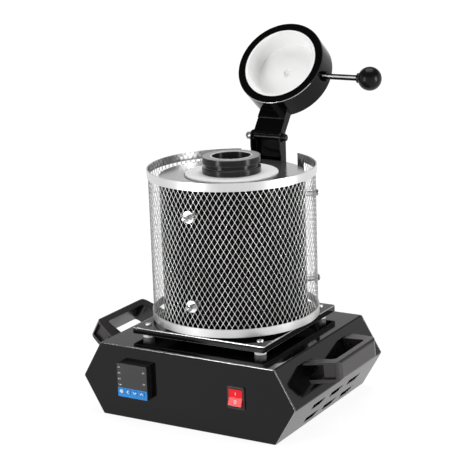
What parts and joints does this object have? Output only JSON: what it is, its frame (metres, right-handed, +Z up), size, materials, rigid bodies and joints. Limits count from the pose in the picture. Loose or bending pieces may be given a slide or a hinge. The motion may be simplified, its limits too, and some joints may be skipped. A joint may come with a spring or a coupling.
{
  "type": "electric gold melting furnace",
  "caption": "Electric gold melting furnace with graphite crucible, hinged lid, mesh guard and control base",
  "frame": {"origin": "on the floor under the middle of the base", "axes": "+Z up, +X to the right seen from the front panel, +Y to the rear"},
  "size_m": [0.3853, 0.3605, 0.4975],
  "materials": {
    "black_paint": "gloss",
    "controller_black": "satin",
    "display": "gloss",
    "key_blue": "gloss",
    "rocker_red": "gloss",
    "handle_black": "satin",
    "knob_black": "gloss",
    "steel": "satin",
    "zinc": "bright",
    "white_ceramic": "matte",
    "graphite": "polished",
    "heating_wire": "oxidised",
    "aluminium": "satin"
  },
  "bodies": {
    "body": {"base_shell": "black_paint", "front_panel": "black_paint", "rear_panel": "black_paint", "furnace_plate": "black_paint", "furnace_shell": "black_paint", "top_cover": "black_paint", "hinge_post": "black_paint", "controller_case": "controller_black", "switch_housing": "controller_black", "power_inlet": "controller_black", "relay": "controller_black", "terminal_block": "controller_black", "controller_window": "display", "key_strip": "key_blue", "guard_mesh": "steel", "guard_rim_bottom": "steel", "guard_rim_top": "steel", "guard_end_strips": "steel", "guard_studs": "zinc", "guard_spacers": "zinc", "guard_washers": "zinc", "guard_nuts": "zinc", "hinge_nut": "zinc", "hinge_bolt": "zinc", "plate_screws": "zinc", "cover_screws": "zinc", "post_screws": "zinc", "inlet_pins": "zinc", "handle_lug_right_front": "zinc", "handle_lug_right_rear": "zinc", "handle_lug_left_front": "zinc", "handle_lug_left_rear": "zinc", "lead_rods": "zinc", "thermocouple": "zinc", "ceramic_ring": "white_ceramic", "heating_chamber": "white_ceramic", "insulation_sleeve": "white_ceramic", "insulation_base": "white_ceramic", "insulator_1": "white_ceramic", "insulator_2": "white_ceramic", "insulator_3": "white_ceramic", "insulator_4": "white_ceramic", "lead_bushes": "white_ceramic", "crucible": "graphite", "heating_coil": "heating_wire", "heat_sink": "aluminium"},
    "lid": {"lid_arm": "black_paint", "lid_shell": "black_paint", "lid_rim": "black_paint", "lid_insulation": "white_ceramic", "lid_lining": "white_ceramic", "lid_rod": "black_paint", "lid_knob": "knob_black"},
    "rocker": {"switch_rocker": "rocker_red"},
    "bow_right": {"handle_right": "handle_black"},
    "bow_left": {"handle_left": "handle_black"},
    "button_1": {"key_1": "key_blue"},
    "button_2": {"key_2": "key_blue"},
    "button_3": {"key_3": "key_blue"},
    "button_4": {"key_4": "key_blue"}
  },
  "joints": [
    {"name": "lid_hinge", "type": "hinge", "parent": "body", "child": "lid", "pos_m": [0, 0.1105, 0.35], "axis": [1, 0, 0], "range_deg": [0, 128.2]},
    {"name": "rocker_tilt", "type": "hinge", "parent": "body", "child": "rocker", "pos_m": [0.0775, -0.1257, 0.056], "axis": [1, 0, 0], "range_deg": [0, 18]},
    {"name": "key_1_press", "type": "slide", "parent": "body", "child": "button_1", "axis": [0, 1, 0], "range_m": [0, 0.0006], "stiffness_N_per_m": 800},
    {"name": "key_2_press", "type": "slide", "parent": "body", "child": "button_2", "axis": [0, 1, 0], "range_m": [0, 0.0006], "stiffness_N_per_m": 800},
    {"name": "key_3_press", "type": "slide", "parent": "body", "child": "button_3", "axis": [0, 1, 0], "range_m": [0, 0.0006], "stiffness_N_per_m": 800},
    {"name": "key_4_press", "type": "slide", "parent": "body", "child": "button_4", "axis": [0, 1, 0], "range_m": [0, 0.0006], "stiffness_N_per_m": 800},
    {"name": "handle_right_pivot", "type": "hinge", "parent": "body", "child": "bow_right", "pos_m": [0.1553, 0, 0.0864], "axis": [0, -1, 0], "range_deg": [0, 24]},
    {"name": "handle_left_pivot", "type": "hinge", "parent": "body", "child": "bow_left", "pos_m": [-0.1553, -0.01, 0.0864], "axis": [0, -1, 0], "range_deg": [0, 24]}
  ]
}
